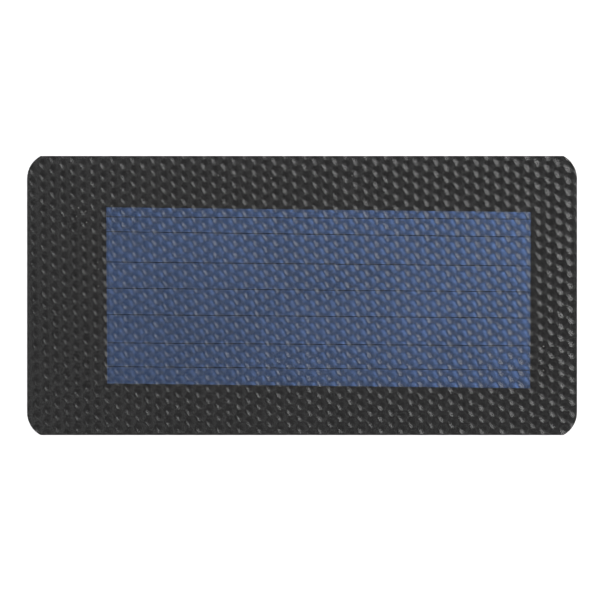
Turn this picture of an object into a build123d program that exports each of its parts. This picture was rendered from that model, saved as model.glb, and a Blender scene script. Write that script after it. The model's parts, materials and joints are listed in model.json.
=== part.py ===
"""Flexible thin-film solar panel: one amorphous-silicon cell on steel foil, laminated
between a black backsheet and an embossed clear front film.

Frame: millimetres. The panel lies on its back. The origin is the middle of the back
face, +X runs along the length away from the contact end, +Y runs across the width and
+Z points out of the face that looks at the sun.
"""

import os
from math import radians, tan

from build123d import *

# Outline of the laminate. The corners are punched first and the long sides are trimmed
# afterwards, so each corner's arc meets its long side at a slight angle
LENGTH = 197.0
WIDTH = 100.0
CORNER_RADIUS = 9.2
SIDE_TRIM = 1.1

# The stack, from the back face up
BACKSHEET = 0.20
REAR_EVA = 0.20
FOIL = 0.125
COATING = 0.010
INSULATOR = 0.030
RIBBON = 0.070
BUSBAR = 0.080
COVER_TAPE = 0.050
FRONT_EVA = 0.600
FRONT_FILM = 0.100

BACKSHEET_TOP = BACKSHEET
FOIL_BOTTOM = BACKSHEET_TOP + REAR_EVA
COATING_BOTTOM = FOIL_BOTTOM + FOIL
COATING_TOP = COATING_BOTTOM + COATING
INSULATOR_TOP = COATING_TOP + INSULATOR
BUSBAR_BOTTOM = INSULATOR_TOP + RIBBON
BUSBAR_TOP = BUSBAR_BOTTOM + BUSBAR
COVER_TOP = BUSBAR_TOP + COVER_TAPE
FILM_BOTTOM = FOIL_BOTTOM + FRONT_EVA
THICKNESS = FILM_BOTTOM + FRONT_FILM

# The cell: a steel foil with its coating, laid a little askew by hand
CELL_LENGTH = 174.4
CELL_WIDTH = 63.1
CELL_X = 5.2
CELL_Y = -0.8
CELL_TURN = -0.65
CELL_LEFT = CELL_X - CELL_LENGTH / 2
CELL_RIGHT = CELL_X + CELL_LENGTH / 2

# Current collection: a busbar near each end of the foil, on an insulating tape
BUSBAR_WIDTH = 4.0
BUSBAR_LENGTH = 60.0
BUSBAR_INSET = 5.5
INSULATOR_WIDTH = 9.0
INSULATOR_LENGTH = 62.0
INSULATOR_INSET = 5.0

# Black tapes over the busbars. Their inner edges bound the blue part of the cell
COVER_LENGTH = 65.5
LEFT_COVER_X = -76.8
LEFT_COVER_WIDTH = 13.6
LEFT_COVER_TURN = 0.3
RIGHT_COVER_X = 87.6
RIGHT_COVER_WIDTH = 11.6
RIGHT_COVER_TURN = -0.2

# Grid wires, pressed flat: (height at mid-length, lean in degrees), from top to bottom
WIRE_WIDTH = 0.26
WIRE_HEIGHT = INSULATOR + RIBBON
WIRE_LEFT = -78.0
WIRE_RIGHT = 88.5
GRID_WIRES = (
    (27.80, -0.32),
    (22.00, -0.74),
    (11.35, -0.55),
    (2.00, -0.51),
    (-7.40, -0.49),
    (-17.45, -0.42),
    (-26.05, -0.49),
)

# Connections at the contact end. Both ribbons end under the foil, over their windows
RIBBON_WIDTH = 5.0
NEGATIVE_Y = -13.6
POSITIVE_Y = -28.6
NEGATIVE_LAP = -75.5
NEGATIVE_BEND = -83.0
NEGATIVE_END = -72.8
POSITIVE_LAP = -68.5
POSITIVE_SHOULDER = -72.0
POSITIVE_FOOT = -73.4
POSITIVE_END = -81.0
EDGE_GUARD_WIDTH = 8.0
EDGE_GUARD_START = -81.2
EDGE_GUARD_BEND = -82.7
EDGE_GUARD_END = -71.6
SOLDER_X = -76.8
SOLDER_OFFSET = 1.8
SOLDER_HOLE_RADIUS = 0.6
SOLDER_DOME_RADIUS = 0.9
SOLDER_DOME = 0.035

# Contact windows in the backsheet, with a pre-tinned pad in each
WINDOW_X = -77.0
WINDOW_LENGTH = 6.0
WINDOW_WIDTH = 4.0
WINDOW_CORNER = 0.8
PAD_GAP = 0.15
PAD_HEIGHT = 0.12

# Polarity marks, inlaid in the back face inboard of each window
MARK_X = -68.0
MARK_SIZE = 4.0
MARK_STROKE = 0.9
MARK_DEPTH = 0.04


def slab(length, width, bottom, top, x=0.0, y=0.0, corner=0.0):
    """A flat rectangular layer between two heights, centred on x, y."""
    outline = Rectangle(length, width) if corner == 0 else RectangleRounded(length, width, corner)
    return Pos(x, y, bottom) * extrude(outline, top - bottom)


def turned(shape, degrees, x, y):
    """The shape turned about an upright axis through x, y."""
    return Pos(x, y) * Rot(0, 0, degrees) * Pos(-x, -y) * shape


def with_cell(shape):
    """What is stuck to the foil lies as far askew as the foil does."""
    return turned(shape, CELL_TURN, CELL_X, CELL_Y)


def sheet_layer(bottom, top):
    """A layer as large as the whole panel."""
    punched = slab(LENGTH, WIDTH + 2 * SIDE_TRIM, bottom, top, corner=CORNER_RADIUS)
    return punched & slab(LENGTH, WIDTH, bottom, top)


def side_profile(points, y, width):
    """A thin bent strip: its outline in the X-Z plane, run across the width at y."""
    outline = make_face(Polyline(*[(x, 0, z) for x, z in points], close=True))
    return extrude(Pos(0, y, 0) * outline, width / 2, both=True)


# ---- the cell and what collects its current ----


def cell_foil():
    return with_cell(slab(CELL_LENGTH, CELL_WIDTH, FOIL_BOTTOM, COATING_BOTTOM, CELL_X, CELL_Y))


def cell_coating():
    return with_cell(slab(CELL_LENGTH, CELL_WIDTH, COATING_BOTTOM, COATING_TOP, CELL_X, CELL_Y))


def grid_wire(height, lean):
    """A wire with a paste coat, pressed flat above and below and round at its sides."""
    section = SlotOverall(WIRE_WIDTH, WIRE_HEIGHT)
    middle = (WIRE_LEFT + WIRE_RIGHT) / 2
    run = extrude(Plane.YZ * section, (WIRE_RIGHT - WIRE_LEFT) / 2, both=True)
    placed = Pos(middle, height, COATING_TOP + WIRE_HEIGHT / 2) * run
    return turned(placed, lean, 0, height)


def bus_insulator(end_x, wires):
    """Double-sided tape under a busbar. The wires bed in its adhesive."""
    tape = slab(INSULATOR_WIDTH, INSULATOR_LENGTH, COATING_TOP, INSULATOR_TOP, end_x, CELL_Y)
    return with_cell(tape) - wires


def busbar(end_x):
    bar = slab(BUSBAR_WIDTH, BUSBAR_LENGTH, BUSBAR_BOTTOM, BUSBAR_TOP, end_x, CELL_Y)
    return with_cell(bar)


def cover_tape(x, width, degrees):
    """Black tape over a busbar, as long each way past the askew foil at either end."""
    y = CELL_Y + (x - CELL_X) * tan(radians(CELL_TURN))
    tape = slab(width, COVER_LENGTH, BUSBAR_TOP, COVER_TOP, x, y)
    return turned(tape, degrees, x, y)


# ---- the leads at the contact end ----


def negative_ribbon():
    """From under the left busbar, round the foil's end and back beneath it to its window."""
    low = BACKSHEET_TOP
    high = INSULATOR_TOP
    inside = NEGATIVE_BEND + RIBBON
    return side_profile(
        [
            (NEGATIVE_LAP, high),
            (inside, high),
            (inside, low + RIBBON),
            (NEGATIVE_END, low + RIBBON),
            (NEGATIVE_END, low),
            (NEGATIVE_BEND, low),
            (NEGATIVE_BEND, high + RIBBON),
            (NEGATIVE_LAP, high + RIBBON),
        ],
        NEGATIVE_Y,
        RIBBON_WIDTH,
    )


def edge_guard(insulator):
    """Tape round the foil's bare end, inside the negative ribbon, butted to the insulator."""
    guard = side_profile(
        [
            (EDGE_GUARD_START, COATING_TOP),
            (EDGE_GUARD_BEND + INSULATOR, COATING_TOP),
            (EDGE_GUARD_BEND + INSULATOR, FOIL_BOTTOM),
            (EDGE_GUARD_END, FOIL_BOTTOM),
            (EDGE_GUARD_END, FOIL_BOTTOM - INSULATOR),
            (EDGE_GUARD_BEND, FOIL_BOTTOM - INSULATOR),
            (EDGE_GUARD_BEND, INSULATOR_TOP),
            (EDGE_GUARD_START, INSULATOR_TOP),
        ],
        NEGATIVE_Y,
        EDGE_GUARD_WIDTH,
    )
    return guard - insulator


def positive_ribbon():
    """Welded under the foil, then down to its own window."""
    low = BACKSHEET_TOP
    high = FOIL_BOTTOM - RIBBON
    return side_profile(
        [
            (POSITIVE_LAP, high),
            (POSITIVE_SHOULDER, high),
            (POSITIVE_FOOT, low),
            (POSITIVE_END, low),
            (POSITIVE_END, low + RIBBON),
            (POSITIVE_FOOT, low + RIBBON),
            (POSITIVE_SHOULDER, high + RIBBON),
            (POSITIVE_LAP, high + RIBBON),
        ],
        POSITIVE_Y,
        RIBBON_WIDTH,
    )


def solder_joints():
    """Two solder plugs through the left busbar into the negative ribbon, each with a low dome."""
    joints = []
    for side in (-1, 1):
        plug = Pos(SOLDER_X, NEGATIVE_Y + side * SOLDER_OFFSET, BUSBAR_BOTTOM) * extrude(
            Circle(SOLDER_HOLE_RADIUS), BUSBAR
        )
        dome = Pos(SOLDER_X, NEGATIVE_Y + side * SOLDER_OFFSET, BUSBAR_TOP) * extrude(
            Circle(SOLDER_DOME_RADIUS), SOLDER_DOME, taper=30
        )
        joints.append(plug + dome)
    return joints


# ---- the back ----


def window(y, depth_top):
    return slab(WINDOW_LENGTH, WINDOW_WIDTH, 0, depth_top, WINDOW_X, y, WINDOW_CORNER)


def solder_pad(y):
    """Solder that wets the ribbon inside the window and stays below the back face."""
    length = WINDOW_LENGTH - 2 * PAD_GAP
    width = WINDOW_WIDTH - 2 * PAD_GAP
    corner = WINDOW_CORNER - PAD_GAP
    return slab(length, width, BACKSHEET_TOP - PAD_HEIGHT, BACKSHEET_TOP, WINDOW_X, y, corner)


def polarity_marks():
    """A minus and a plus, inlaid flush in the back face beside their windows."""
    minus = slab(MARK_SIZE, MARK_STROKE, 0, MARK_DEPTH, MARK_X, NEGATIVE_Y)
    upright = slab(MARK_STROKE, MARK_SIZE, 0, MARK_DEPTH, MARK_X, POSITIVE_Y)
    across = slab(MARK_SIZE, MARK_STROKE, 0, MARK_DEPTH, MARK_X, POSITIVE_Y)
    return [minus, upright + across]


def backsheet(marks):
    sheet = sheet_layer(0, BACKSHEET_TOP)
    for y in (NEGATIVE_Y, POSITIVE_Y):
        sheet -= window(y, BACKSHEET_TOP)
    return sheet - marks


# ---- build every node ----


def build():
    left_bus_x = CELL_LEFT + BUSBAR_INSET
    right_bus_x = CELL_RIGHT - BUSBAR_INSET
    wires = [grid_wire(height, lean) for height, lean in GRID_WIRES]
    joints = solder_joints()
    marks = polarity_marks()
    left_insulator = bus_insulator(CELL_LEFT + INSULATOR_INSET, wires)

    nodes = {
        "cell_foil": cell_foil(),
        "cell_coating": cell_coating(),
        "bus_insulator_left": left_insulator,
        "bus_insulator_right": bus_insulator(CELL_RIGHT - INSULATOR_INSET, wires),
        "busbar_left": busbar(left_bus_x) - joints,
        "busbar_right": busbar(right_bus_x),
        "busbar_cover_left": cover_tape(LEFT_COVER_X, LEFT_COVER_WIDTH, LEFT_COVER_TURN) - joints,
        "busbar_cover_right": cover_tape(RIGHT_COVER_X, RIGHT_COVER_WIDTH, RIGHT_COVER_TURN),
        "negative_ribbon": negative_ribbon(),
        "negative_edge_guard": edge_guard(left_insulator),
        "positive_ribbon": positive_ribbon(),
        "busbar_solder_joints": Compound(joints),
    }
    for number, wire in enumerate(wires, start=1):
        nodes[f"grid_wire_{number}"] = wire

    inner = [solid for shape in nodes.values() for solid in shape.solids()]
    nodes["rear_encapsulant"] = sheet_layer(BACKSHEET_TOP, FOIL_BOTTOM) - inner
    nodes["front_encapsulant"] = sheet_layer(FOIL_BOTTOM, FILM_BOTTOM) - inner
    nodes["front_film"] = sheet_layer(FILM_BOTTOM, THICKNESS)
    nodes["backsheet"] = backsheet(marks)
    nodes["polarity_marks"] = Compound(marks)
    nodes["negative_solder_pad"] = solder_pad(NEGATIVE_Y)
    nodes["positive_solder_pad"] = solder_pad(POSITIVE_Y)
    return nodes


os.makedirs("parts", exist_ok=True)
for name, shape in build().items():
    export_step(shape, f"parts/{name}.step")
    print(f"{name}: {len(shape.solids())} solid(s), {shape.volume:.2f} mm3")
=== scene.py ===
# %% [markdown]
# # A flexible thin-film solar panel
# A solar cell on steel foil is sealed between a black backsheet and a clear film that has been
# embossed with a honeycomb of shallow dimples. The CAD gives every hidden and visible layer.
# This scene adds what the CAD leaves out: the dimpled clear body and the finish of each layer.

import json
from math import cos, radians, sin

import bmesh
import bpy
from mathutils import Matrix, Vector

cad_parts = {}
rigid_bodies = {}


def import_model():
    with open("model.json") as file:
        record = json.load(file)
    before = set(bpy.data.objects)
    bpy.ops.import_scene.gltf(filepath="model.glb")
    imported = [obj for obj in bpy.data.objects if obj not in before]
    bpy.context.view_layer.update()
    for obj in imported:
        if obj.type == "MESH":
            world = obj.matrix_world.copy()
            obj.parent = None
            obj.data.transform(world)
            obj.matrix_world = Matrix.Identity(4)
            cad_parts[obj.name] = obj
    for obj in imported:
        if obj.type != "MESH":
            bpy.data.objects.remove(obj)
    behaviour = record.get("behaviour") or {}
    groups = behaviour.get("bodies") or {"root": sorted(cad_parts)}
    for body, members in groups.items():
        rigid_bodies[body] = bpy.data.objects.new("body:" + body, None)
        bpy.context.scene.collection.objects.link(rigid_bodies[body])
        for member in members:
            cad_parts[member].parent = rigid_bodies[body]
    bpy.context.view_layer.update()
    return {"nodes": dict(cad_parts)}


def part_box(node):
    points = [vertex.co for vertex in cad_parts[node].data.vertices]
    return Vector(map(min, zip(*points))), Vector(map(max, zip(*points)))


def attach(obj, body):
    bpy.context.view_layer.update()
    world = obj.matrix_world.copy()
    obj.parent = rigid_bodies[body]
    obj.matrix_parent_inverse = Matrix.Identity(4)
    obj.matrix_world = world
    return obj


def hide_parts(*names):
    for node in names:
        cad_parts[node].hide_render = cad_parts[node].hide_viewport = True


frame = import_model()
nodes = frame["nodes"]

# %% [markdown]
# ## Small helpers
# The dimensions below are in millimetres, as on a drawing, and Blender works in metres. Node
# trees are written with one call per node: sockets by name, a value or another node's output.

# %% Helpers
MM = 0.001


def add(tree, kind, inputs=None, **settings):
    """A new node in tree. inputs maps a socket to a value, or to the output that feeds it."""
    node = tree.nodes.new(kind)
    for name, value in settings.items():
        setattr(node, name, value)
    for key, value in (inputs or {}).items():
        if isinstance(value, bpy.types.NodeSocket):
            tree.links.new(value, node.inputs[key])
        else:
            node.inputs[key].default_value = value
    return node


def maths(tree, operation, *values):
    """The number that a Math node works out from sockets or numbers."""
    node = add(tree, "ShaderNodeMath", dict(enumerate(values)), operation=operation)
    return node.outputs[0]


def vectors(tree, operation, *values):
    """The vector that a Vector Math node works out from sockets or vectors."""
    node = add(tree, "ShaderNodeVectorMath", dict(enumerate(values)), operation=operation)
    return node.outputs[0]


def length_of(tree, vector):
    """The length of a vector, which a Vector Math node gives on its second output."""
    return add(tree, "ShaderNodeVectorMath", {0: vector}, operation="LENGTH").outputs["Value"]


def new_group(name, kind, inputs, outputs):
    """An empty group, its inputs' sockets and its output node.

    Inputs are given as (name, type, default) and outputs as (name, type).
    """
    group = bpy.data.node_groups.new(name, kind)
    for title, socket_type, default in inputs:
        socket = group.interface.new_socket(title, in_out="INPUT", socket_type=socket_type)
        if default is not None:
            socket.default_value = default
    for title, socket_type in outputs:
        group.interface.new_socket(title, in_out="OUTPUT", socket_type=socket_type)
    return group, add(group, "NodeGroupInput").outputs, add(group, "NodeGroupOutput")


# %% [markdown]
# ## The rule of the embossing
# The dimples sit on a honeycomb lattice. Its rectangular cell is two columns long and one pitch
# wide, with a dimple at each corner and one in the middle. The bowls are a little wider than the
# pitch, so neighbours meet in sharp creases, and those creases draw the honeycomb. The film went
# through the embossing roller a little askew, so the columns lean. A raised patch is where
# something under the film lifts it: the cell and the taped strips. At its edges the sheet is
# pressed thinner.

# %% Dimensions of the clear body
# Outline in millimetres. BODY_BOTTOM is where the clear body ends, inside the backsheet.
LENGTH, WIDTH = 197.0, 100.0
CORNER_RADIUS, SIDE_TRIM = 9.2, 1.1
BODY_BOTTOM = 0.198

# Lattice: the cell's size, how far its columns lean and its rows tilt, and where it is centred
CELL_X, CELL_Y = 7.236, 4.180
LEAN, TILT = -0.0191, -0.0038
LATTICE_CENTRE = (2.8, 0.5)

# Grid: the number of cells each way, and the number of faces that a cell is cut into
CELLS_ALONG, CELLS_ACROSS = 29, 25
STEPS_ALONG, STEPS_ACROSS = 16, 8

# Dimple: how far a bowl reaches and its depth, then the share by which depths differ and the
# distance by which a bowl may stray from its lattice point
DIMPLE_RADIUS, DIMPLE_DEPTH = 2.30, 0.30
UNEVENNESS, STRAY = 0.08, 0.04
SEED = 7

# Slow waves of the sheet: noise scale per metre, and height
WAVE_SCALE, WAVE_HEIGHT = 90.0, 0.015

# Raised patches: centre, size, width of the slope round them, height
RIM_HEIGHT = 0.95
PATCHES = {
    "sheet": ((0.0, 0.0), (194.0, 97.0), 3.2, 0.06),
    "cell": ((5.2, -0.8), (176.0, 65.0), 2.2, 0.02),
    "left_strip": ((-76.8, 0.1), (14.4, 66.5), 1.3, 0.05),
    "right_strip": ((87.6, -1.7), (12.4, 66.5), 1.3, 0.05),
}

# Bumps where a joint lies under the left strip: x, y, height
JOINT_BUMPS = ((-76.8, -11.8, 0.08), (-76.8, -15.4, 0.08), (-76.8, -28.6, 0.04))
BUMP_RADIUS = 1.3

# %% [markdown]
# ## A node group for one raised patch
# It measures how far inside a rectangle a point is, and turns that into a smooth step.

# %% Raised patch group
patch, given, result = new_group(
    "Raised patch",
    "GeometryNodeTree",
    [
        ("Position", "NodeSocketVector", None),
        ("Centre", "NodeSocketVector", None),
        ("Half Size", "NodeSocketVector", None),
        ("Slope", "NodeSocketFloat", 0.002),
        ("Height", "NodeSocketFloat", 0.0001),
    ],
    [("Height", "NodeSocketFloat")],
)
offset = vectors(patch, "ABSOLUTE", vectors(patch, "SUBTRACT", given["Position"], given["Centre"]))
inside = vectors(patch, "SUBTRACT", given["Half Size"], offset)
axes = add(patch, "ShaderNodeSeparateXYZ", {0: inside}).outputs
nearest_side = maths(patch, "MINIMUM", axes[0], axes[1])
step = add(
    patch,
    "ShaderNodeMapRange",
    {"Value": nearest_side, "From Min": 0.0, "From Max": given["Slope"]},
    interpolation_type="SMOOTHSTEP",
)
raised = maths(patch, "MULTIPLY", step.outputs[0], given["Height"])
patch.links.new(raised, result.inputs[0])

# %% [markdown]
# ## The Geometry Nodes tree of the embossed face: its grid
# A fine grid is laid so that every dimple gets the same pattern of faces. The tree's inputs are
# the lattice, the dimple and the seed.

# %% Embossed face: grid
sheet, given, result = new_group(
    "Embossed face",
    "GeometryNodeTree",
    [
        ("Geometry", "NodeSocketGeometry", None),
        ("Cell X", "NodeSocketFloat", CELL_X * MM),
        ("Cell Y", "NodeSocketFloat", CELL_Y * MM),
        ("Cells Along", "NodeSocketInt", CELLS_ALONG),
        ("Cells Across", "NodeSocketInt", CELLS_ACROSS),
        ("Dimple Radius", "NodeSocketFloat", DIMPLE_RADIUS * MM),
        ("Dimple Depth", "NodeSocketFloat", DIMPLE_DEPTH * MM),
        ("Unevenness", "NodeSocketFloat", UNEVENNESS),
        ("Stray", "NodeSocketFloat", STRAY * MM),
        ("Seed", "NodeSocketInt", SEED),
        ("Film", "NodeSocketMaterial", None),
    ],
    [("Geometry", "NodeSocketGeometry")],
)
points_along = maths(sheet, "MULTIPLY_ADD", given["Cells Along"], STEPS_ALONG, 1)
points_across = maths(sheet, "MULTIPLY_ADD", given["Cells Across"], STEPS_ACROSS, 1)
grid = add(
    sheet,
    "GeometryNodeMeshGrid",
    {
        "Size X": maths(sheet, "MULTIPLY", given["Cell X"], given["Cells Along"]),
        "Size Y": maths(sheet, "MULTIPLY", given["Cell Y"], given["Cells Across"]),
        "Vertices X": points_along,
        "Vertices Y": points_across,
    },
)
print("Grid steps for each cell:", STEPS_ALONG, "by", STEPS_ACROSS)

# %% [markdown]
# ## The nearest dimple
# For each point, the nearest dimple at a cell's corner and the nearest in a cell's middle are
# found, and then the nearer of those two.

# %% Embossed face: nearest dimple
flat = add(sheet, "GeometryNodeInputPosition").outputs[0]
cell_size = add(
    sheet, "ShaderNodeCombineXYZ", {0: given["Cell X"], 1: given["Cell Y"], 2: 1.0}
).outputs[0]
lattice = vectors(sheet, "DIVIDE", flat, cell_size)

corner = vectors(sheet, "FLOOR", vectors(sheet, "ADD", lattice, (0.5, 0.5, 0.5)))
middle = vectors(sheet, "ADD", vectors(sheet, "FLOOR", lattice), (0.5, 0.5, 0.0))
away = {}
for name, centre in (("corner", corner), ("middle", middle)):
    gap = vectors(sheet, "MULTIPLY", vectors(sheet, "SUBTRACT", lattice, centre), cell_size)
    away[name] = (gap, length_of(sheet, gap))
at_corner = maths(sheet, "LESS_THAN", away["corner"][1], away["middle"][1])
nearest = add(
    sheet, "ShaderNodeMix", {0: at_corner, 4: middle, 5: corner}, data_type="VECTOR"
).outputs[1]
from_centre = add(
    sheet,
    "ShaderNodeMix",
    {0: at_corner, 4: away["middle"][0], 5: away["corner"][0]},
    data_type="VECTOR",
).outputs[1]
print("Nodes so far:", len(sheet.nodes))

# %% [markdown]
# ## The bowl
# The number of the nearest lattice point seeds that dimple's own offset and depth. The point goes
# down by a bowl: full depth at the centre, less with the square of the distance, none at the rim.

# %% Embossed face: bowl
luck = add(
    sheet,
    "ShaderNodeTexWhiteNoise",
    {"Vector": nearest, "W": given["Seed"]},
    noise_dimensions="4D",
).outputs
either_way = vectors(sheet, "MULTIPLY_ADD", luck["Color"], (2.0, 2.0, 0.0), (-1.0, -1.0, 0.0))
shift = add(
    sheet, "ShaderNodeVectorMath", {0: either_way, "Scale": given["Stray"]}, operation="SCALE"
).outputs[0]
distance = length_of(sheet, vectors(sheet, "SUBTRACT", from_centre, shift))
share = maths(sheet, "MINIMUM", maths(sheet, "DIVIDE", distance, given["Dimple Radius"]), 1.0)
bowl = maths(sheet, "SUBTRACT", 1.0, maths(sheet, "MULTIPLY", share, share))
off_middle = maths(sheet, "SUBTRACT", luck["Value"], 0.5)
own = maths(sheet, "MULTIPLY_ADD", off_middle, given["Unevenness"], 1.0)
depth = maths(sheet, "MULTIPLY", maths(sheet, "MULTIPLY", bowl, own), given["Dimple Depth"])
print("Nodes so far:", len(sheet.nodes))

# %% [markdown]
# ## The rest of the surface
# The lattice is leaned and moved to its place. Then the height of each point is put together: the
# rim, less the bowl, plus the raised patches, the bumps over the joints and slow waves.

# %% Embossed face: height
xy = add(sheet, "ShaderNodeSeparateXYZ", {0: flat}).outputs
leaning = add(
    sheet,
    "ShaderNodeCombineXYZ",
    {
        0: maths(sheet, "MULTIPLY_ADD", xy[1], LEAN, xy[0]),
        1: maths(sheet, "MULTIPLY_ADD", xy[0], TILT, xy[1]),
    },
).outputs[0]
placed = vectors(sheet, "ADD", leaning, (LATTICE_CENTRE[0] * MM, LATTICE_CENTRE[1] * MM, 0.0))
height = maths(sheet, "SUBTRACT", RIM_HEIGHT * MM, depth)
for name, (centre, size, slope, rise) in PATCHES.items():
    one = add(sheet, "GeometryNodeGroup", node_tree=patch, label=name)
    sheet.links.new(placed, one.inputs["Position"])
    one.inputs["Centre"].default_value = (centre[0] * MM, centre[1] * MM, 0.0)
    one.inputs["Half Size"].default_value = (size[0] / 2 * MM, size[1] / 2 * MM, 0.0)
    one.inputs["Slope"].default_value = slope * MM
    one.inputs["Height"].default_value = rise * MM
    height = maths(sheet, "ADD", height, one.outputs[0])
for bump_x, bump_y, bump_height in JOINT_BUMPS:
    gap = vectors(sheet, "SUBTRACT", placed, (bump_x * MM, bump_y * MM, 0.0))
    bump = add(
        sheet,
        "ShaderNodeMapRange",
        {
            "Value": length_of(sheet, gap),
            "From Min": BUMP_RADIUS * MM,
            "From Max": 0.0,
            "To Max": bump_height * MM,
        },
        interpolation_type="SMOOTHSTEP",
    )
    height = maths(sheet, "ADD", height, bump.outputs[0])
waves = add(
    sheet, "ShaderNodeTexNoise", {"Vector": placed, "Scale": WAVE_SCALE, "Detail": 2.0}
).outputs[0]
height = maths(sheet, "MULTIPLY_ADD", waves, WAVE_HEIGHT * MM, height)
print("Nodes so far:", len(sheet.nodes))

# %% [markdown]
# ## The end of the tree
# Each point is moved, and the face is shaded smooth, made real and given the film's material.

# %% Embossed face: output
lift = add(sheet, "ShaderNodeCombineXYZ", {2: height}).outputs[0]
shaped = add(
    sheet,
    "GeometryNodeSetPosition",
    {"Geometry": grid.outputs[0], "Position": vectors(sheet, "ADD", placed, lift)},
)
smooth = add(sheet, "GeometryNodeSetShadeSmooth", {0: shaped.outputs[0], "Shade Smooth": True})
real = add(sheet, "GeometryNodeRealizeInstances", {0: smooth.outputs[0]})
coloured = add(sheet, "GeometryNodeSetMaterial", {0: real.outputs[0], "Material": given["Film"]})
sheet.links.new(coloured.outputs[0], result.inputs[0])
print("Embossing tree:", len(sheet.nodes), "nodes")

# %% [markdown]
# ## Run the tree and keep a plain mesh
# The modifier's inputs are set by socket identifier. The result is copied out as an ordinary
# mesh, and the modifier goes.

# %% Embossed mesh
film = bpy.data.materials.new("embossed_film")


def run_tree(name, group, values):
    """A new object with the mesh that the node group gives for these inputs."""
    holder = bpy.data.objects.new(name, bpy.data.meshes.new(name))
    bpy.context.scene.collection.objects.link(holder)
    modifier = holder.modifiers.new("nodes", "NODES")
    modifier.node_group = group
    for item in group.interface.items_tree:
        if item.in_out == "INPUT" and item.name in values:
            modifier[item.identifier] = values[item.name]
    holder.update_tag()
    depsgraph = bpy.context.evaluated_depsgraph_get()
    made = bpy.data.meshes.new_from_object(holder.evaluated_get(depsgraph), depsgraph=depsgraph)
    holder.modifiers.remove(modifier)
    holder.data = made
    made.name = name
    return holder


inputs = {"Film": film, "Dimple Depth": DIMPLE_DEPTH * MM, "Seed": SEED}
body = run_tree("clear_laminate", sheet, inputs)
print("Embossed face:", len(body.data.vertices), "points")

# %% [markdown]
# ## Trim it to the outline
# The corners are punched and the long sides trimmed afterwards, so each arc meets its long side
# at a slight angle. Every cut is a plane, since the outline is convex, and an arc is a fan of
# CORNER_CUTS planes over CORNER_SWEEP degrees. Each is cut only from the faces near its corner,
# those up to CORNER_MARGIN millimetres inside the arc's centre.

# %% Trim
CORNER_CUTS, CORNER_SWEEP = 12, 64
CORNER_MARGIN = 1.0
SAME_POINT = 1e-7

mesh = bmesh.new()
mesh.from_mesh(body.data)


def cut(point, normal, faces):
    """Cuts off what lies beyond a plane, in those faces of the mesh."""
    edges = dict.fromkeys(e for f in faces for e in f.edges)
    verts = dict.fromkeys(v for f in faces for v in f.verts)
    part = [*verts, *edges, *faces]
    bmesh.ops.bisect_plane(
        mesh, geom=part, plane_co=point, plane_no=normal, clear_outer=True, dist=SAME_POINT
    )


for side in (-1, 1):
    cut((side * LENGTH / 2 * MM, 0, 0), (side, 0, 0), mesh.faces[:])
    cut((0, side * WIDTH / 2 * MM, 0), (0, side, 0), mesh.faces[:])

arc_centre = (LENGTH / 2 - CORNER_RADIUS, WIDTH / 2 + SIDE_TRIM - CORNER_RADIUS)
for side_x in (-1, 1):
    for side_y in (-1, 1):
        centre = Vector((side_x * arc_centre[0] * MM, side_y * arc_centre[1] * MM, 0))
        for number in range(CORNER_CUTS):
            angle = radians(CORNER_SWEEP) * (number + 0.5) / CORNER_CUTS
            outward = Vector((side_x * cos(angle), side_y * sin(angle), 0))
            near = [
                f
                for f in mesh.faces
                if f.verts[0].co.x * side_x > centre.x * side_x - CORNER_MARGIN * MM
                and f.verts[0].co.y * side_y > centre.y * side_y - CORNER_MARGIN * MM
            ]
            cut(centre + outward * CORNER_RADIUS * MM, outward, near)
print("Trimmed face:", len(mesh.faces), "faces")

# %% [markdown]
# ## Close it
# The rim is carried down into the backsheet and closed underneath, which makes one clear body
# that holds the cell. Edges that bend by more than CREASE_ANGLE degrees are shaded as sharp.

# %% Close
CREASE_ANGLE = 40
rim = [e for e in mesh.edges if e.is_boundary]
walls = bmesh.ops.extrude_edge_only(mesh, edges=rim)["geom"]
for v in walls:
    if isinstance(v, bmesh.types.BMVert):
        v.co.z = BODY_BOTTOM * MM
floor_edges = [e for e in mesh.edges if e.is_boundary]
bmesh.ops.contextual_create(mesh, geom=floor_edges)
bmesh.ops.recalc_face_normals(mesh, faces=mesh.faces[:])
mesh.to_mesh(body.data)
open_edges = sum(1 for e in mesh.edges if not e.is_manifold)
mesh.free()
body.data.shade_smooth()
body.data.set_sharp_from_angle(angle=radians(CREASE_ANGLE))
triangles = sum(len(p.vertices) - 2 for p in body.data.polygons)
print("Clear body:", triangles, "triangles,", open_edges, "open edges")

# %% [markdown]
# ## Shared shading group
# Every finish varies a little: blotches at one size, fine grain at another. One group gives
# both, from the object's own coordinates, which are its real position in metres.

# %% Uneven group
uneven, given, result = new_group(
    "Uneven",
    "ShaderNodeTree",
    [("Blotch Size mm", "NodeSocketFloat", 12.0), ("Grain Size mm", "NodeSocketFloat", 0.6)],
    [("Blotch", "NodeSocketFloat"), ("Grain", "NodeSocketFloat")],
)
where = add(uneven, "ShaderNodeTexCoord").outputs["Object"]
for number, (title, detail) in enumerate((("Blotch Size mm", 3.0), ("Grain Size mm", 2.0))):
    scale = maths(uneven, "DIVIDE", 1000.0, given[title])
    noise = add(uneven, "ShaderNodeTexNoise", {"Vector": where, "Scale": scale, "Detail": detail})
    uneven.links.new(noise.outputs[0], result.inputs[number])


# %% [markdown]
# ## How a finish is made
# A finish blends blotches and grain into its colour, takes its roughness from the blotches alone,
# and may have the grain as a bump.

# %% Finish helper
BLOTCH_SHARE, GRAIN_SHARE = 0.6, 0.4
NOISE_LOW, NOISE_HIGH = 0.3, 0.7
GRAIN_STRENGTH = 0.6


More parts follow.
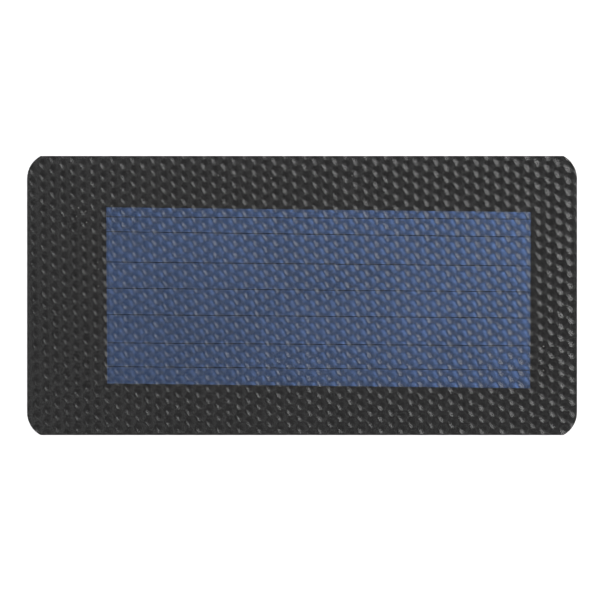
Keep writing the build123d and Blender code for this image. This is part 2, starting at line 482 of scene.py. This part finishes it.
def finish(
    material, dark, light, roughness, spread=0.08, blotch=12.0, grain=0.6, bump=0.0, **plain
):
    """Fills a material: colour between two shades, roughness about a middle, optional grain.

    blotch and grain are sizes and bump is a height, all in millimetres. Further values go
    straight to the shader's own sockets.
    """
    material.use_nodes = True
    tree = material.node_tree
    tree.nodes.clear()
    group = add(tree, "ShaderNodeGroup", node_tree=uneven)
    group.inputs["Blotch Size mm"].default_value = blotch
    group.inputs["Grain Size mm"].default_value = grain
    blotches = maths(tree, "MULTIPLY", group.outputs["Blotch"], BLOTCH_SHARE)
    both = maths(tree, "MULTIPLY_ADD", group.outputs["Grain"], GRAIN_SHARE, blotches)
    spreading = add(
        tree,
        "ShaderNodeMapRange",
        {"Value": both, "From Min": NOISE_LOW, "From Max": NOISE_HIGH},
    )
    colour = add(
        tree,
        "ShaderNodeMix",
        {0: spreading.outputs[0], 6: (*dark, 1), 7: (*light, 1)},
        data_type="RGBA",
    ).outputs[2]
    rough = add(
        tree,
        "ShaderNodeMapRange",
        {
            "Value": group.outputs["Blotch"],
            "From Min": NOISE_LOW,
            "From Max": NOISE_HIGH,
            "To Min": roughness - spread,
            "To Max": roughness + spread,
        },
    ).outputs[0]
    shader = add(tree, "ShaderNodeBsdfPrincipled", {"Base Color": colour, "Roughness": rough})
    for title, value in plain.items():
        shader.inputs[title.replace("_", " ")].default_value = value
    if bump:
        grained = add(
            tree,
            "ShaderNodeBump",
            {
                "Strength": GRAIN_STRENGTH,
                "Distance": bump * MM,
                "Height": group.outputs["Grain"],
            },
        )
        tree.links.new(grained.outputs[0], shader.inputs["Normal"])
    add(tree, "ShaderNodeOutputMaterial", {0: shader.outputs[0]})
    return material


# %% [markdown]
# ## Finishes
# The film is a clear plastic with a satin surface. The cell is a thin stack of coatings that
# mirrors blue, so it counts as metal with a coloured shine. The rest is black plastic, dark
# paste, tinned copper, solder and tape. BRIGHT is metal. SHEENLESS is plastic or paste that has
# almost no shine of its own.

# %% Materials
BRIGHT = {"Metallic": 1.0}
SHEENLESS = {"Specular_IOR_Level": 0.1}


def material(name):
    """A new, empty material."""
    return bpy.data.materials.new(name)


finish(film, (0.97, 0.98, 0.98), (1.0, 1.0, 1.0), 0.20, 0.02, IOR=1.60, Transmission_Weight=1.0)
black_sheet = finish(
    material("black_backsheet"),
    (0.033, 0.033, 0.0335),
    (0.041, 0.0405, 0.041),
    0.55,
    bump=0.01,
    **SHEENLESS,
)
blue_cell = finish(
    material("blue_coating"),
    (0.065, 0.115, 0.246),
    (0.077, 0.132, 0.286),
    0.24,
    0.02,
    blotch=30.0,
    **BRIGHT,
)
steel = finish(material("steel_foil"), (0.42, 0.42, 0.42), (0.55, 0.55, 0.54), 0.32, **BRIGHT)
amber_tape = finish(material("insulating_tape"), (0.42, 0.24, 0.05), (0.55, 0.33, 0.08), 0.4)
paste = finish(
    material("coated_wire"), (0.008, 0.008, 0.010), (0.018, 0.018, 0.020), 0.5, **SHEENLESS
)
copper = finish(material("tinned_copper"), (0.60, 0.59, 0.56), (0.75, 0.74, 0.70), 0.3, **BRIGHT)
black_tape = finish(
    material("black_tape"), (0.029, 0.0285, 0.029), (0.036, 0.0355, 0.036), 0.5, **SHEENLESS
)
solder = finish(
    material("solder"), (0.58, 0.58, 0.57), (0.72, 0.72, 0.70), 0.28, 0.1, blotch=2.0, **BRIGHT
)
ink = finish(material("mark_ink"), (0.42, 0.42, 0.40), (0.52, 0.52, 0.50), 0.6)
print("Materials:", len(bpy.data.materials))

# %% [markdown]
# ## Which layer gets which finish
# Every CAD node that can be seen, through the clear body or from behind, gets its finish here.

# %% Finish each node
WIRES = 7
LOOKS = {
    "backsheet": black_sheet,
    "cell_foil": steel,
    "cell_coating": blue_cell,
    "bus_insulator_left": amber_tape,
    "bus_insulator_right": amber_tape,
    "negative_edge_guard": amber_tape,
    "busbar_left": copper,
    "busbar_right": copper,
    "negative_ribbon": copper,
    "positive_ribbon": copper,
    "busbar_cover_left": black_tape,
    "busbar_cover_right": black_tape,
    "busbar_solder_joints": solder,
    "negative_solder_pad": solder,
    "positive_solder_pad": solder,
    "polarity_marks": ink,
}
for number in range(1, WIRES + 1):
    LOOKS[f"grid_wire_{number}"] = paste
for name, look in LOOKS.items():
    nodes[name].data.materials.clear()
    nodes[name].data.materials.append(look)
print("Finishes given to", len(LOOKS), "CAD nodes")

# %% [markdown]
# ## Trapped bubbles
# A few bubbles stayed in the encapsulant when the stack was pressed, most of them over the taped
# strips. Each is a flattened ball. The frame gives the surface that it lies on. Their pale grey
# is a painted glint, standing in for the light that each bubble catches.

# %% Bubbles
# Place and radius of each, in millimetres
BUBBLE_HEIGHT = 0.05
STRIP_BUBBLES = (
    (-80.1, 31.4, 0.16),
    (-77.5, 30.2, 0.13),
    (-80.8, 28.4, 0.12),
    (-77.2, 26.2, 0.16),
    (-73.2, 11.9, 0.14),
    (-72.9, 9.4, 0.12),
    (-73.0, 3.4, 0.15),
    (86.5, -18.2, 0.17),
    (86.5, -26.8, 0.14),
)
BORDER_BUBBLES = ((-11.0, 42.0, 0.20), (-30.0, 43.0, 0.17), (18.0, 43.0, 0.17))
# The bubbles' pale grey is a painted glint: it stands in for the light that each one catches
painted_glint = finish(material("bubble_painted_glint"), (0.42, 0.41, 0.40), (0.58, 0.57, 0.55), 0.3, 0.08, blotch=1.0)
bubbles = bmesh.new()
for places, below in ((STRIP_BUBBLES, "busbar_cover_left"), (BORDER_BUBBLES, "backsheet")):
    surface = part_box(below)[1][2]
    half_height = BUBBLE_HEIGHT / 2 * MM
    for x, y, radius in places:
        ball = bmesh.ops.create_icosphere(bubbles, subdivisions=2, radius=1.0)["verts"]
        bmesh.ops.scale(bubbles, vec=(radius * MM, radius * MM, half_height), verts=ball)
        bmesh.ops.translate(bubbles, vec=(x * MM, y * MM, surface + half_height), verts=ball)
bubble_mesh = bpy.data.meshes.new("trapped_bubbles")
bubbles.to_mesh(bubble_mesh)
bubbles.free()
bubble_mesh.shade_smooth()
bubble_mesh.materials.append(painted_glint)
bubble_piece = bpy.data.objects.new("trapped_bubbles", bubble_mesh)
bpy.context.scene.collection.objects.link(bubble_piece)
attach(bubble_piece, "root")
print("Bubbles:", len(STRIP_BUBBLES) + len(BORDER_BUBBLES))

# %% [markdown]
# ## Tie the clear body to the CAD
# It rides on the panel's one body and stands for the three clear layers.

# %% Frame calls
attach(body, "root")
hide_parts("front_film", "front_encapsulant", "rear_encapsulant")

# %% [markdown]
# ## Studio floor
# A white table. Most of its white is a glow of its own, which keeps the room dim. That matters,
# because the renderer then spends its light rays on the lamp that the dimples mirror. From below
# the table is clear, so that the back of the panel can be seen.

# %% Floor
# Half the table's side in metres, and how far it lies below the panel in millimetres
FLOOR_HALF, FLOOR_DROP = 3.0, 0.3

# The grey that it scatters and the strength of its glow
FLOOR_WHITE, FLOOR_GLOW = 0.6, 0.85

floor_mesh = bpy.data.meshes.new("floor")
corners = [(-1, -1), (1, -1), (1, 1), (-1, 1)]
spread_out = [(FLOOR_HALF * x, FLOOR_HALF * y, 0) for x, y in corners]
floor_mesh.from_pydata(spread_out, [], [(0, 1, 2, 3)])
floor = bpy.data.objects.new("floor", floor_mesh)
floor.location.z = -FLOOR_DROP * MM
bpy.context.scene.collection.objects.link(floor)
white = material("white_floor")
white.use_nodes = True
white.cycles.emission_sampling = "NONE"
tree = white.node_tree
tree.nodes.clear()
paper = add(
    tree,
    "ShaderNodeBsdfPrincipled",
    {
        "Base Color": (FLOOR_WHITE, FLOOR_WHITE, FLOOR_WHITE, 1),
        "Roughness": 1.0,
        "Specular IOR Level": 0.0,
        "Emission Color": (1, 1, 1, 1),
        "Emission Strength": FLOOR_GLOW,
    },
)
clear = add(tree, "ShaderNodeBsdfTransparent")
behind = add(tree, "ShaderNodeNewGeometry").outputs["Backfacing"]
either = add(tree, "ShaderNodeMixShader", {0: behind, 1: paper.outputs[0], 2: clear.outputs[0]})
add(tree, "ShaderNodeOutputMaterial", {0: either.outputs[0]})
floor_mesh.materials.append(white)

# %% [markdown]
# ## Room light
# A bowl mirrors a wide piece of the room, so the room is painted on the sky in soft patches. It
# is dark nearly overhead, which darkens the floor of each bowl, and evenly lit further out, which
# draws the honeycomb. A soft lamp up and to the right puts the bright spot on the lower left
# wall of each bowl, and the blue glint that the cell sends back through the opposite wall.

# %% Sky
# Brightness of the room well above the table and below it, and how much the dark patch takes off.
# The room fades between two heights of the direction: -1 is straight down and 1 straight up.
ROOM, BELOW, OVERHEAD_SHADE = 0.55, 0.12, 0.78
FADE_FROM, FADE_TO = -0.1, 0.75

# Each patch in degrees: tilt from straight up, turn from +X, and where it starts and ends fading
DARK_TILT, DARK_TURN, DARK_CORE, DARK_REACH = 8.0, -35.0, 2.0, 21.0
LAMP, LAMP_TILT, LAMP_CORE, LAMP_REACH = 2.9, 25.0, 2.0, 19.0
LAMP_TURN = 33.0

world = bpy.data.worlds.new("room")
bpy.context.scene.world = world
world.use_nodes = True
tree = world.node_tree
tree.nodes.clear()
direction = add(tree, "ShaderNodeTexCoord").outputs["Generated"]


def patch_of_sky(tilt, turn, core, reach):
    """1 within core degrees of a direction, 0 beyond reach."""
    tilt, turn = radians(tilt), radians(turn)
    aim = (sin(tilt) * cos(turn), sin(tilt) * sin(turn), cos(tilt))
    facing = add(
        tree, "ShaderNodeVectorMath", {0: direction, 1: aim}, operation="DOT_PRODUCT"
    ).outputs["Value"]
    return add(
        tree,
        "ShaderNodeMapRange",
        {"Value": facing, "From Min": cos(radians(reach)), "From Max": cos(radians(core))},
        interpolation_type="SMOOTHSTEP",
    ).outputs[0]


up = add(tree, "ShaderNodeSeparateXYZ", {0: direction}).outputs[2]
light = add(
    tree,
    "ShaderNodeMapRange",
    {"Value": up, "From Min": FADE_FROM, "From Max": FADE_TO, "To Min": BELOW, "To Max": ROOM},
).outputs[0]
shade = patch_of_sky(DARK_TILT, DARK_TURN, DARK_CORE, DARK_REACH)
light = maths(tree, "MULTIPLY", light, maths(tree, "MULTIPLY_ADD", shade, -OVERHEAD_SHADE, 1.0))
lamp = patch_of_sky(LAMP_TILT, LAMP_TURN, LAMP_CORE, LAMP_REACH)
light = maths(tree, "MULTIPLY_ADD", lamp, LAMP, light)
sky = add(tree, "ShaderNodeBackground", {"Color": (1, 1, 1, 1), "Strength": light})
add(tree, "ShaderNodeOutputWorld", {0: sky.outputs[0]})
print("Sky: room", ROOM, "lamp", LAMP, "shade", OVERHEAD_SHADE)

# %% [markdown]
# ## Camera
# It looks straight down onto the face through a long lens, a little off the panel's middle. The
# values are in millimetres.

# %% Camera
VIEW_WIDTH = 214.87
VIEW_CENTRE = (-0.73, -1.61)
DISTANCE, FACE_HEIGHT = 1100.0, 1.0
SENSOR = 36.0
camera_data = bpy.data.cameras.new("camera")
camera_data.sensor_width = SENSOR
camera_data.lens = SENSOR * DISTANCE / VIEW_WIDTH
camera = bpy.data.objects.new("camera", camera_data)
camera.location = (VIEW_CENTRE[0] * MM, VIEW_CENTRE[1] * MM, (DISTANCE + FACE_HEIGHT) * MM)
bpy.context.scene.collection.objects.link(camera)
bpy.context.scene.camera = camera
bpy.context.scene.view_settings.view_transform = "Standard"
print("Lens in mm:", round(camera_data.lens, 1))
